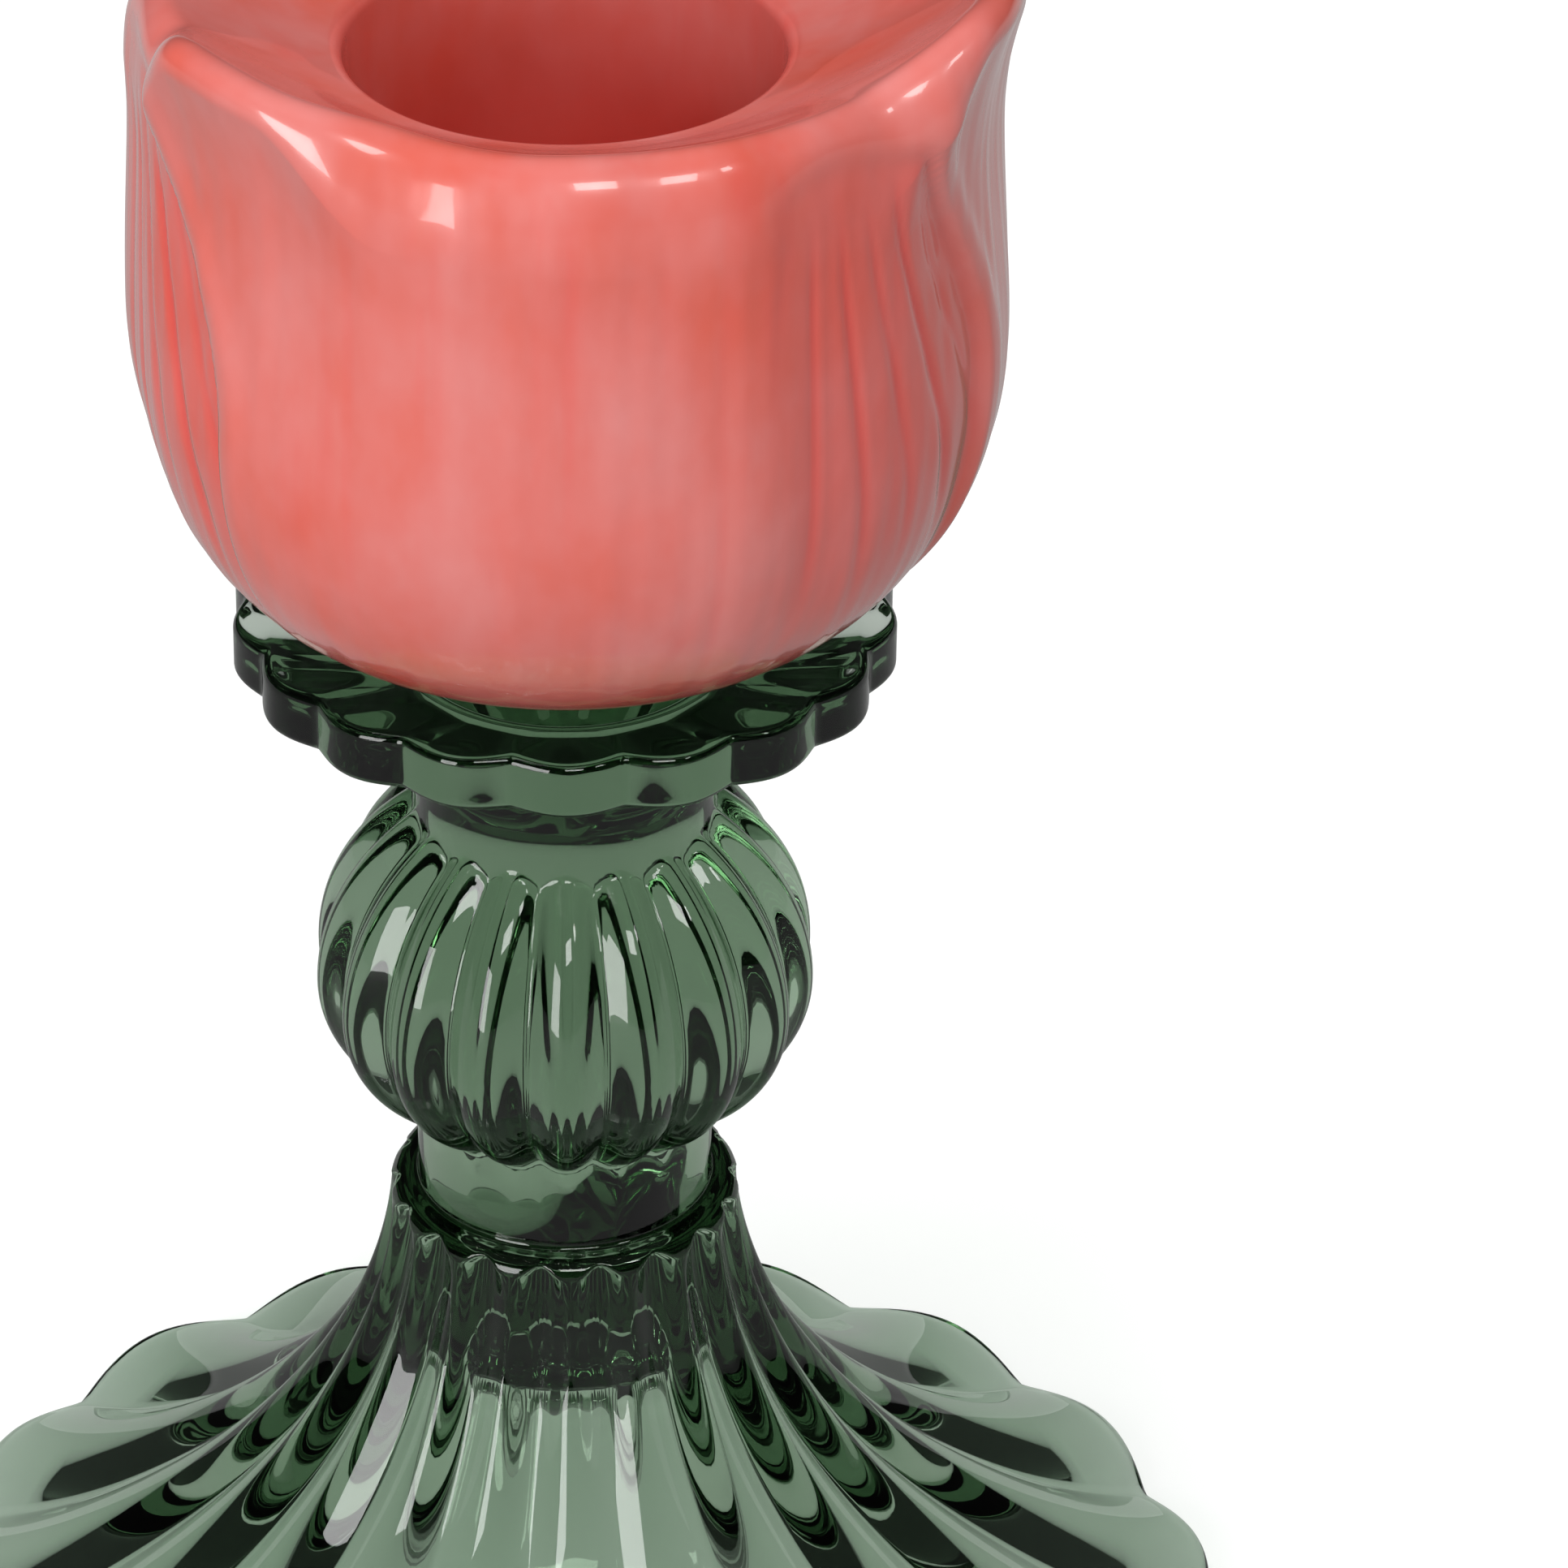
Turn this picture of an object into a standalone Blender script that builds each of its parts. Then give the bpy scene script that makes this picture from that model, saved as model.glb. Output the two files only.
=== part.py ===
"""Glass candlestick with a tulip cup, in metres, standing on Z = 0 about the Z axis.

Three pieces: a pressed-glass base, a tulip-shaped cup that holds one dinner candle,
and the clear adhesive pad that bonds the cup to the base. The front of the object is
towards -Y, and an azimuth is an angle from the front, growing towards +X.
"""

import math

import bpy

OBJECT_NAME = "tulip_candlestick"

# Gap left between pieces that touch.
CONTACT_GAP = 0.0003

# Pressed-glass base: its lobes run round the flange, the knop and the foot.
LOBE_COUNT = 18
BASE_STEPS = LOBE_COUNT * 4

FOOT_RADIUS = 0.0375
FOOT_LOBE_DEPTH = 0.0010
FOOT_RIM_HEIGHT = 0.0020
FOOT_FLUTE_DEPTH = 0.0013
FOOT_RIM_CREASE = 0.0009
REST_RING_RADIUS = 0.0364
REST_RING_WIDTH = 0.0034
HOLLOW_HEIGHT = 0.0232
HOLLOW_DOME_RADIUS = 0.0056
HOLLOW_DOME_RISE = 0.0012

COLLAR_HEIGHT = 0.03335
COLLAR_RADIUS = 0.00955
COLLAR_SHOULDER = 0.00085
COLLAR_FILLET = 0.0004
FLARE_START_HEIGHT = 0.0312

NECK_RADIUS = 0.0080
NECK_FILLET = 0.0008

KNOP_HEIGHT = 0.0470
KNOP_RADIUS = 0.01345
KNOP_UPPER_HALF = 0.0125
KNOP_LOWER_HALF = 0.0105
KNOP_FLUTE_DEPTH = 0.0010

FLANGE_RADIUS = 0.0175
FLANGE_BOTTOM = 0.0666
FLANGE_TOP = 0.0698
FLANGE_LOBE_DEPTH = 0.0007
FLANGE_UNDERCUT = 0.0040
FLANGE_FILLET = 0.0005

# Tulip cup: heights are above its own foot ring.
CUP_SEAT_HEIGHT = FLANGE_TOP + CONTACT_GAP
CUP_STEPS = 72
CUP_FOOT_RADIUS = 0.0120
CUP_BELLY_RADIUS = 0.0227
CUP_BELLY_HEIGHT = 0.0162
CUP_WAIST_RADIUS = 0.0215
CUP_WAIST_HEIGHT = 0.0286
CUP_LIP_RADIUS = 0.0224
CUP_LIP_HEIGHT = 0.0358
CUP_LIP_ROUND = 0.0010
SHOULDER_RADIUS = 0.0223
SHOULDER_HEIGHT = 0.0356
SHOULDER_REACH = 0.0024
SHOULDER_DROP = 0.0055
CUP_RECESS_RADIUS = 0.0110
CUP_RECESS_HEIGHT = 0.0009

WELL_RADIUS = 0.0112
WELL_FLOOR_RADIUS = 0.0108
WELL_MOUTH_HEIGHT = 0.0322
WELL_FLOOR_HEIGHT = 0.0122
WELL_MOUTH_ROUND = 0.0010

PETAL_COUNT = 3
PETAL_GAP_AZIMUTH = math.radians(43)
PETAL_TIP_RISE = 0.0023
PETAL_TIP_FLARE = 0.0010
PANEL_DEPTH = 0.0007
PANEL_HALF_WIDTH = math.radians(16)
PANEL_TOP_HEIGHT = 0.0350

# Adhesive pad under the cup.
PAD_RADIUS = 0.0105
PAD_SEGMENTS = 64
PAD_THICKNESS = CUP_RECESS_HEIGHT - CONTACT_GAP


def clear_scene():
    for scene_object in list(bpy.data.objects):
        bpy.data.objects.remove(scene_object, do_unlink=True)


def make_material(name, color, roughness, metallic=0.0, alpha=1.0):
    material = bpy.data.materials.new(name)
    material.use_nodes = True
    shader = material.node_tree.nodes["Principled BSDF"]
    shader.inputs["Base Color"].default_value = (*color, 1.0)
    shader.inputs["Roughness"].default_value = roughness
    shader.inputs["Metallic"].default_value = metallic
    shader.inputs["Alpha"].default_value = alpha
    material.diffuse_color = (*color, alpha)
    return material


def arc(center, radii, start, end, count):
    """Points of an elliptical arc, with its angles in degrees from the outward direction."""
    points = []
    for index in range(count):
        angle = math.radians(start + (end - start) * index / (count - 1))
        points.append((center[0] + radii[0] * math.cos(angle), center[1] + radii[1] * math.sin(angle)))
    return points


def curve(start, start_handle, end_handle, end, count):
    """Points of a cubic curve between two outline points."""
    points = []
    for index in range(count):
        t = index / (count - 1)
        weights = ((1 - t) ** 3, 3 * t * (1 - t) ** 2, 3 * t * t * (1 - t), t ** 3)
        controls = (start, start_handle, end_handle, end)
        points.append(tuple(sum(w * c[axis] for w, c in zip(weights, controls)) for axis in (0, 1)))
    return points


def smooth_step(value):
    value = min(max(value, 0.0), 1.0)
    return value * value * (3 - 2 * value)


def with_shift(points, shift_at):
    """Pairs each outline point with the (out, up) shift that shift_at gives for it."""
    return [(point, shift_at(index / max(len(points) - 1, 1))) for index, point in enumerate(points)]


def turned_mesh(name, outline, steps):
    """Turns an outline of (point, shift) pairs about Z into one closed mesh.

    The outline starts and ends on the axis and runs down the outer side. The shift stays
    on the mesh as the attribute "shift", for the lobes or petals that are pressed in later.
    """
    mesh = bpy.data.meshes.new(name + "_outline")
    vertices = [(point[0], 0.0, point[1]) for point, _ in outline]
    mesh.from_pydata(vertices, [(i, i + 1) for i in range(len(vertices) - 1)], [])
    shift = mesh.attributes.new("shift", "FLOAT_VECTOR", "POINT")
    for item, (_, (out, up)) in zip(shift.data, outline):
        item.vector = (out, 0.0, up)
    blank = bpy.data.objects.new(name + "_outline", mesh)
    bpy.context.scene.collection.objects.link(blank)
    screw = blank.modifiers.new("turn", "SCREW")
    screw.axis = "Z"
    screw.steps = steps
    screw.render_steps = steps
    screw.use_merge_vertices = True
    screw.merge_threshold = 0.00001
    turned = bpy.data.meshes.new_from_object(blank.evaluated_get(bpy.context.evaluated_depsgraph_get()))
    bpy.data.objects.remove(blank)
    bpy.data.meshes.remove(mesh)
    turned.name = name
    return turned


def azimuth_of(position):
    return math.atan2(position.x, -position.y)


def press_lobes(mesh, sunk_at):
    """Moves each vertex by its own shift, times the share that sunk_at gives at its azimuth."""
    for vertex, shift in zip(mesh.vertices, mesh.attributes["shift"].data):
        azimuth = azimuth_of(vertex.co)
        share = sunk_at(azimuth)
        vertex.co.x += shift.vector.x * share * math.sin(azimuth)
        vertex.co.y -= shift.vector.x * share * math.cos(azimuth)
        vertex.co.z += shift.vector.z * share


def groove(azimuth):
    """0 on the crest of a lobe and 1 in the crease between two lobes."""
    return 1 - abs(math.cos(azimuth * LOBE_COUNT / 2))


def flange_outline():
    inset = FLANGE_RADIUS - FLANGE_FILLET
    fillet = (FLANGE_FILLET, FLANGE_FILLET)
    top_edge = arc((inset, FLANGE_TOP - FLANGE_FILLET), fillet, 90, 0, 3)
    bottom_edge = arc((inset, FLANGE_BOTTOM + FLANGE_FILLET), fillet, 0, -90, 3)
    lobes = with_shift(top_edge + bottom_edge, lambda t: (-FLANGE_LOBE_DEPTH, 0.0))
    center = [((0.0, FLANGE_TOP), (0.0, 0.0))]
    return center + lobes


def upper_neck_outline():
    fillet_center = (NECK_RADIUS + NECK_FILLET, FLANGE_BOTTOM - FLANGE_UNDERCUT - NECK_FILLET)
    fillet = arc(fillet_center, (NECK_FILLET, NECK_FILLET), 90, 180, 3)
    return with_shift(fillet, lambda t: (0.0, 0.0))


def knop_outline():
    """The ribbed ball, from the upper neck to the lower neck."""
    end = math.degrees(math.acos(NECK_RADIUS / KNOP_RADIUS))
    upper = arc((0.0, KNOP_HEIGHT), (KNOP_RADIUS, KNOP_UPPER_HALF), end, 0, 7)
    lower = arc((0.0, KNOP_HEIGHT), (KNOP_RADIUS, KNOP_LOWER_HALF), 0, -end, 7)
    return with_shift(upper + lower[1:], lambda t: (-KNOP_FLUTE_DEPTH * math.sin(math.pi * t) ** 0.6, 0.0))


def collar_outline():
    fillet_center = (NECK_RADIUS + COLLAR_FILLET, COLLAR_HEIGHT + COLLAR_FILLET)
    fillet = arc(fillet_center, (COLLAR_FILLET, COLLAR_FILLET), 180, 270, 3)
    shoulder_center = (COLLAR_RADIUS - COLLAR_SHOULDER, COLLAR_HEIGHT - COLLAR_SHOULDER)
    shoulder = arc(shoulder_center, (COLLAR_SHOULDER, COLLAR_SHOULDER), 90, 0, 4)
    return with_shift(fillet + shoulder, lambda t: (0.0, 0.0))


def foot_outline():
    """The trumpet foot from the collar to its resting ring; its flutes deepen, then turn into rim lobes."""
    flare_start = (COLLAR_RADIUS + 0.0001, FLARE_START_HEIGHT)
    rim = (FOOT_RADIUS - 0.0007, FOOT_RIM_HEIGHT)
    flare = curve(flare_start, (0.0112, 0.0172), (0.0257, 0.0052), rim, 14)

    def flute_shift(t):
        rim_share = smooth_step((t - 0.6) / 0.4)
        depth = FOOT_FLUTE_DEPTH * smooth_step(t / 0.25)
        drop = depth * t * (1 - rim_share) + FOOT_RIM_CREASE * rim_share
        return (-depth * (1 - t) - FOOT_LOBE_DEPTH * rim_share, -drop)

    edge = [(FOOT_RADIUS, FOOT_RIM_HEIGHT - 0.0007), (FOOT_RADIUS, 0.0005), (REST_RING_RADIUS, 0.0)]
    edge_shifts = [(-FOOT_LOBE_DEPTH, -FOOT_RIM_CREASE * 0.6), (-FOOT_LOBE_DEPTH, 0.0), (-FOOT_LOBE_DEPTH, 0.0)]
    return with_shift(flare, flute_shift) + list(zip(edge, edge_shifts))


def hollow_outline():
    """The smooth hollow under the foot, from the resting ring up to its domed top."""
    ring_edge = (REST_RING_RADIUS - REST_RING_WIDTH, 0.0)
    dome_base = (HOLLOW_DOME_RADIUS, HOLLOW_HEIGHT - HOLLOW_DOME_RISE)
    wall = curve(ring_edge, (0.0205, 0.0030), (0.0094, 0.0105), dome_base, 10)
    dome = arc((0.0, dome_base[1]), (HOLLOW_DOME_RADIUS, HOLLOW_DOME_RISE), 0, 90, 4)
    top = (0.0, HOLLOW_HEIGHT)
    return with_shift(wall + dome[1:-1] + [top], lambda t: (0.0, 0.0))


def build_glass_base():
    sections = (flange_outline(), upper_neck_outline(), knop_outline(), collar_outline(), foot_outline(),
                hollow_outline())
    outline = [pair for section in sections for pair in section]
    mesh = turned_mesh("glass_base", outline, BASE_STEPS)
    press_lobes(mesh, groove)
    return mesh


def petal_phase(azimuth):
    """Place within one petal: 0 at its leading gap, growing to 1 at the next gap."""
    return (azimuth - PETAL_GAP_AZIMUTH) * PETAL_COUNT / math.tau % 1.0


def petal_tip(azimuth):
    """1 at a petal's tip, which leans towards the gap where the petal starts, and 0 at its far edge."""
    phase = petal_phase(azimuth)
    return smooth_step((phase - 0.02) / 0.17) * (1 - smooth_step((phase - 0.19) / 0.42))


def panel_share(azimuth, height):
    """1 inside the arch-topped panel between two petals, and 0 outside it."""
    phase = petal_phase(azimuth)
    off_center = min(phase, 1 - phase) * math.tau / PETAL_COUNT / PANEL_HALF_WIDTH
    if off_center >= 1:
        return 0.0
    arch = PANEL_TOP_HEIGHT - 0.004 * off_center ** 2
    above_base = smooth_step((height - 0.002) / 0.012)
    return smooth_step((1 - off_center) / 0.35) * smooth_step((arch - height) / 0.002) * above_base


def well_outline():
    """The candle well, from the middle of its floor up to the rounded mouth."""
    center = (WELL_RADIUS + WELL_MOUTH_ROUND, WELL_MOUTH_HEIGHT - WELL_MOUTH_ROUND)
    mouth = arc(center, (WELL_MOUTH_ROUND, WELL_MOUTH_ROUND), 180, 100, 4)
    well = [(0.0, WELL_FLOOR_HEIGHT), (WELL_FLOOR_RADIUS, WELL_FLOOR_HEIGHT)] + mouth
    return with_shift(well, lambda t: (0.0, 0.0))


def towards_petal(plain, petal, lift_at):
    """Pairs the cup's plain outline with its shift to the petal's outline, plus the petal's lift."""
    pairs = []
    for index, (start, end) in enumerate(zip(plain, petal)):
        lift = lift_at(index / (len(plain) - 1))
        out = end[0] - start[0] + lift * PETAL_TIP_FLARE
        up = end[1] - start[1] + lift * PETAL_TIP_RISE
        pairs.append((start, (out, up)))
    return pairs


def rim_outline():
    """The dish that climbs from the mouth of the well to the lip, and the rounded lip."""
    shoulder_center = (SHOULDER_RADIUS - SHOULDER_REACH, SHOULDER_HEIGHT - SHOULDER_DROP)
    shoulder = arc(shoulder_center, (SHOULDER_REACH, SHOULDER_DROP), 98, 2, 7)
    petal_center = (CUP_LIP_RADIUS - CUP_LIP_ROUND, CUP_LIP_HEIGHT - CUP_LIP_ROUND)
    petal_lip = arc(petal_center, (CUP_LIP_ROUND, CUP_LIP_ROUND), 110, -20, 7)
    dish_start = (WELL_RADIUS + 0.0022, WELL_MOUTH_HEIGHT + 0.0003)
    plain_dish = curve(dish_start, (0.0155, 0.0334), (0.0176, 0.0347), shoulder[0], 6)[:-1]
    petal_dish = curve(dish_start, (0.0160, 0.0331), (0.0190, 0.0345), petal_lip[0], 6)[:-1]
    dish = towards_petal(plain_dish, petal_dish, lambda t: (0.8 * t) ** 2)
    return dish + towards_petal(shoulder, petal_lip, lambda t: 1.0)


def cup_wall_outline():
    """The outer wall, from under the lip over the waist and the belly to the foot ring."""
    belly = (CUP_BELLY_RADIUS, CUP_BELLY_HEIGHT)
    under_lip = (CUP_LIP_RADIUS - 0.0002, CUP_LIP_HEIGHT - 0.0026)
    waist = (CUP_WAIST_RADIUS, CUP_WAIST_HEIGHT)
    petal_upper = curve(under_lip, (CUP_WAIST_RADIUS, 0.0315), (CUP_WAIST_RADIUS, 0.0300), waist, 4)
    petal_middle = curve(waist, (CUP_WAIST_RADIUS, 0.0250), (CUP_BELLY_RADIUS, 0.0205), belly, 5)
    plain_start = (SHOULDER_RADIUS, SHOULDER_HEIGHT - SHOULDER_DROP - 0.0004)
    plain_waist = (SHOULDER_RADIUS, CUP_WAIST_HEIGHT - 0.0010)
    plain_upper = curve(plain_start, plain_start, plain_waist, plain_waist, 4)
    plain_middle = curve(plain_waist, (SHOULDER_RADIUS, 0.0250), (CUP_BELLY_RADIUS, 0.0205), belly, 5)
    plain, petal = plain_upper + plain_middle[1:], petal_upper + petal_middle[1:]
    wall = towards_petal(plain, petal, lambda t: (1 - t) ** 2)
    lower = curve(belly, (CUP_BELLY_RADIUS, 0.0084), (0.0189, 0.0025), (CUP_FOOT_RADIUS, 0.0), 9)[1:]
    return wall + with_shift(lower, lambda t: (0.0, 0.0))


def cup_recess_outline():
    """The shallow recess under the cup that holds the adhesive."""
    recess = [(CUP_RECESS_RADIUS, 0.0), (CUP_RECESS_RADIUS, CUP_RECESS_HEIGHT), (0.0, CUP_RECESS_HEIGHT)]
    return with_shift(recess, lambda t: (0.0, 0.0))


def sink_panels(mesh):
    """Presses the arch-topped panels into the outer wall between the petals."""
    for vertex in mesh.vertices:
        radius = math.hypot(vertex.co.x, vertex.co.y)
        if radius < CUP_RECESS_RADIUS + CONTACT_GAP or vertex.co.z > PANEL_TOP_HEIGHT:
            continue
        if radius < WELL_RADIUS * 1.2 and vertex.co.z > WELL_FLOOR_HEIGHT:
            continue
        scale = 1 - PANEL_DEPTH * panel_share(azimuth_of(vertex.co), vertex.co.z) / radius
        vertex.co.x *= scale
        vertex.co.y *= scale


def build_tulip_cup():
    outline = well_outline() + rim_outline() + cup_wall_outline() + cup_recess_outline()
    mesh = turned_mesh("tulip_cup", outline, CUP_STEPS)
    sink_panels(mesh)
    press_lobes(mesh, petal_tip)
    return mesh


def build_adhesive_pad():
    bpy.ops.mesh.primitive_cylinder_add(vertices=PAD_SEGMENTS, radius=PAD_RADIUS, depth=PAD_THICKNESS)
    return bpy.context.object


def place(piece, name, material, height, parent, collection):
    """Names a piece, gives it its material and its place on the axis, and files it."""
    piece.name = name
    piece.data.name = name
    piece.data.materials.clear()
    piece.data.materials.append(material)
    for owner in list(piece.users_collection):
        owner.objects.unlink(piece)
    collection.objects.link(piece)
    piece.location = (0.0, 0.0, height)
    piece.parent = parent
    piece.data.shade_smooth()
    piece.data.set_sharp_from_angle(angle=math.radians(35))


def main():
    clear_scene()
    collection = bpy.data.collections.new(OBJECT_NAME)
    bpy.context.scene.collection.children.link(collection)
    axis = bpy.data.objects.new("candlestick_axis", None)
    collection.objects.link(axis)

    green_glass = make_material("green_glass", (0.10, 0.24, 0.15), 0.03, alpha=0.35)
    coral_glaze = make_material("coral_glaze", (0.71, 0.16, 0.14), 0.12)
    clear_adhesive = make_material("clear_adhesive", (0.85, 0.87, 0.85), 0.10, alpha=0.35)

    glass_base = bpy.data.objects.new("glass_base", build_glass_base())
    tulip_cup = bpy.data.objects.new("tulip_cup", build_tulip_cup())
    place(glass_base, "glass_base", green_glass, 0.0, axis, collection)
    place(tulip_cup, "tulip_cup", coral_glaze, CUP_SEAT_HEIGHT, axis, collection)
    pad_height = FLANGE_TOP + CONTACT_GAP + PAD_THICKNESS / 2
    place(build_adhesive_pad(), "adhesive_pad", clear_adhesive, pad_height, axis, collection)


main()
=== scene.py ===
"""Looks of the tulip candlestick: a coral glazed cup on a pressed green glass base.

Outlines are in millimetres, the base's above the table and the cup's above its foot ring;
the meshes and the studio are in metres. An azimuth is an angle about the stem from the front
(-Y), growing towards +X.
"""

import math

import bpy
import numpy as np
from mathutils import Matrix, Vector


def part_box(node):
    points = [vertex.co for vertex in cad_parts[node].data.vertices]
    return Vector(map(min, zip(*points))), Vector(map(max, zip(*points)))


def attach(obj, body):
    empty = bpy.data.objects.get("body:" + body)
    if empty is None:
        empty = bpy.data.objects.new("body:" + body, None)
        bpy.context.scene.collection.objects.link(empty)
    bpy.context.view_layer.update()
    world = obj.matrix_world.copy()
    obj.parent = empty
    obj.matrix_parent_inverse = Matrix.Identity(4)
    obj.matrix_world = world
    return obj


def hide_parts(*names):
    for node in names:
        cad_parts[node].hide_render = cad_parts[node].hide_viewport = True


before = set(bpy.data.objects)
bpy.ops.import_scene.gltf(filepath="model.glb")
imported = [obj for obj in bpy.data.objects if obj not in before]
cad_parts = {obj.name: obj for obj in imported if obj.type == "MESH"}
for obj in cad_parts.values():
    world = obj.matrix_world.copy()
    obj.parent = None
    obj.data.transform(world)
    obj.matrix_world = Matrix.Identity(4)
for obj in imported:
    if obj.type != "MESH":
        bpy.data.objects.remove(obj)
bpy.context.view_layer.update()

MM = 0.001

BASE_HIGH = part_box("glass_base")[1]
CUP_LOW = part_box("tulip_cup")[0]
PAD_LOW, PAD_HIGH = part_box("adhesive_pad")

# Pressed glass base: drip pan and upper neck.
LOBES = 18
BASE_COLUMNS = LOBES * 20
LOBE_TURN = math.radians(0.5)
FLANGE_TOP = BASE_HIGH.z / MM
FLANGE_THICKNESS = 3.2
FLANGE_RADIUS = 17.5
FLANGE_FILLET = 0.55
FLANGE_LOBE_DEPTH = 0.75
FLANGE_UNDERCUT = 4.0
NECK_RADIUS = 8.0
NECK_WAIST = 0.12
NECK_FILLET = 0.8

# Ball knop, collar and the flutes' heads.
KNOP_HEIGHT = 47.0
KNOP_RADIUS = 13.45
KNOP_UPPER_HALF = 12.5
KNOP_LOWER_HALF = 10.5
KNOP_FLUTE_DEPTH = 1.05
CORE_SOFTNESS = 0.2
COLLAR_TOP = 33.35
COLLAR_RADIUS = 9.55
COLLAR_SHOULDER = 1.15
COLLAR_DROP = 1.1
COLLAR_FILLET = 0.3
FLUTE_HEAD = 33.1
FLUTE_HEAD_SOFTNESS = 0.5
FLUTE_ARCH = 1.1
FLUTE_DEPTH = 0.75
FLUTE_CUSP = -0.6

# Foot and the hollow under it.
FOOT_TURN = math.radians(1.8)
FOOT_RADIUS = 37.5
FOOT_FLUTE_DEPTH = 1.45
FOOT_LOBE_DEPTH = 1.0
FLARE_TOP = 31.2
FLARE_HANDLES = ((11.2, 17.2), (25.7, 5.2))
RIM_CREASE = 0.95
RIM_HEIGHT = 1.95
RIM_FILLET = 0.75
RIM_BOTTOM_FILLET = 0.6
REST_RADIUS = 36.3
REST_WIDTH = 3.3
HOLLOW_TOP = 23.2
HOLLOW_HANDLES = ((20.5, 3.0), (9.4, 10.5))
DOME_RADIUS = 5.6
DOME_RISE = 1.2

# Tulip cup: outline.
CUP_SEAT = CUP_LOW.z / MM
CUP_COLUMNS = 480
CUP_FOOT_RADIUS = 12.0
BELLY_RADIUS = 22.7
BELLY_HEIGHT = 16.2
WAIST_RADIUS = 21.5
WAIST_HEIGHT = 28.6
LIP_RADIUS = 22.4
LIP_HEIGHT = 35.8
LIP_ROUND = 1.15
SHOULDER_RADIUS = 22.3
SHOULDER_HEIGHT = 35.6
SHOULDER_REACH = 2.4
SHOULDER_DROP = 5.5
WELL_RADIUS = 11.2
WELL_FLOOR_RADIUS = 10.8
WELL_FLOOR = 12.2
WELL_MOUTH = 32.2
WELL_ROUND = 1.1
WELL_CORNER = 0.5
DISH_START = (WELL_RADIUS + 2.0, WELL_MOUTH + 0.3)
RECESS_RADIUS = 11.0
RECESS_HEIGHT = 0.9

# Tulip cup: petals, panels and grooves.
PETALS = 3
PETAL_GAP = math.radians(43)
TIP_RISE = 2.3
TIP_FLARE = 1.0
PANEL_DEPTH = 0.75
PANEL_TOP = 35.2
PANEL_FOOT = 1.0
PANEL_ARCH = 2.6
PANEL_LEFT = math.radians(-20)
PANEL_RIGHT_AT_TOP = math.radians(8)
PANEL_RIGHT_AT_FOOT = math.radians(28)
RIDGE_HEIGHT = 0.22
RIDGE_WIDTH = math.radians(2.4)
GROOVE_PITCH = math.radians(7.2)
GROOVE_START = math.radians(9.2)
GROOVE_DEPTH = 0.2
RIPPLE_DEPTH = 0.05

# Adhesive: its edge is drawn in and wanders a little, both as shares of its radius.
BOND_COLUMNS = 128
BOND_INSET = 0.016
BOND_WAVES = ((3, 0.7, 0.01), (7, 2.0, 0.006))

# Colours. Ramps are (position, colour) stops.
BLACK = (0.0, 0.0, 0.0)
WHITE = (1.0, 1.0, 1.0)
THIN_GLAZE = ((0.32, (0.63, 0.102, 0.070)), (0.50, (0.64, 0.146, 0.124)), (0.70, (0.65, 0.200, 0.185)))
# The deep colour stands for glaze pooled in grooves and also for painted shade down the well and near the
# cup's foot.
POOLED_GLAZE_AND_SHADE = ((0.30, (0.66, 0.055, 0.042)), (0.70, (0.72, 0.075, 0.060)))
GLAZE_STROKES = ((0.58, BLACK), (0.80, (0.30, 0.30, 0.30)))
MIRRORED_GLAZE = (0.10, 0.16, 0.10)
MIRRORED_HEIGHTS = ((0.085, WHITE), (0.095, BLACK))
GLASS_TINT = ((0.3, (0.93, 1.0, 0.94)), (0.7, WHITE))
GLASS_DEPTH_COLOR = (0.24, 0.44, 0.24)
GLASS_SHADOW = (0.66, 0.78, 0.68)
ADHESIVE_TINT = ((0.3, (0.80, 0.84, 0.80)), (0.7, (0.92, 0.94, 0.92)))
FLOOR_SEEN = ((0.3, (0.88, 0.88, 0.88)), (0.7, (0.90, 0.90, 0.90)))
FLOOR_MIRRORED = ((0.02, (0.12, 0.12, 0.12)), (0.30, (0.35, 0.35, 0.35)))
FLOOR_THROUGH_GLASS = (0.43, 0.43, 0.43)

# Studio.
LIGHT_TARGET = (0, 0, 0.06)
WORLD_COLOR = (0.97, 1.0, 0.98)
WORLD_STRENGTH = 0.02
WORLD_DIFFUSE_STRENGTH = 0.12
CAMERA_DISTANCE = 0.365
CAMERA_HEIGHT = 0.286
CAMERA_PITCH = math.radians(32.0)
CAMERA_LENS = 186.3
CAMERA_SENSOR = 36.0
CAMERA_SHIFT = 0.1398


# ---------------------------------------------------------------- outline helpers

def arc(center, radii, start, end, count):
    """Points of an elliptical arc; angles in degrees from the outward direction."""
    angles = np.radians(np.linspace(start, end, count))
    return np.stack([center[0] + radii[0] * np.cos(angles), center[1] + radii[1] * np.sin(angles)], 1)


def curve(start, start_handle, end_handle, end, count):
    """Points of a cubic curve between two outline points."""
    t = np.linspace(0, 1, count)[:, None]
    controls = [np.array(point, float) for point in (start, start_handle, end_handle, end)]
    weights = ((1 - t) ** 3, 3 * t * (1 - t) ** 2, 3 * t ** 2 * (1 - t), t ** 3)
    return sum(weight * control for weight, control in zip(weights, controls))


def line(start, end, count):
    return np.linspace(start, end, count)


def smooth_step(value):
    """0 up to 0, 1 from 1 on, and a soft step between."""
    value = np.clip(value, 0.0, 1.0)
    return value * value * (3 - 2 * value)


def all_round(count):
    """Evenly spaced azimuths of a full turn, as one row."""
    return np.linspace(0, math.tau, count, endpoint=False)[None, :]


def as_columns(rows):
    """The fields of outline rows, each as one column."""
    return rows.T[:, :, None]


def around(radius, height, azimuth):
    """Points round the axis; each value is a row, a column or a grid."""
    radius, height, azimuth = np.broadcast_arrays(radius, height, azimuth)
    return np.stack([radius * np.sin(azimuth), -radius * np.cos(azimuth), height], -1)


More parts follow.
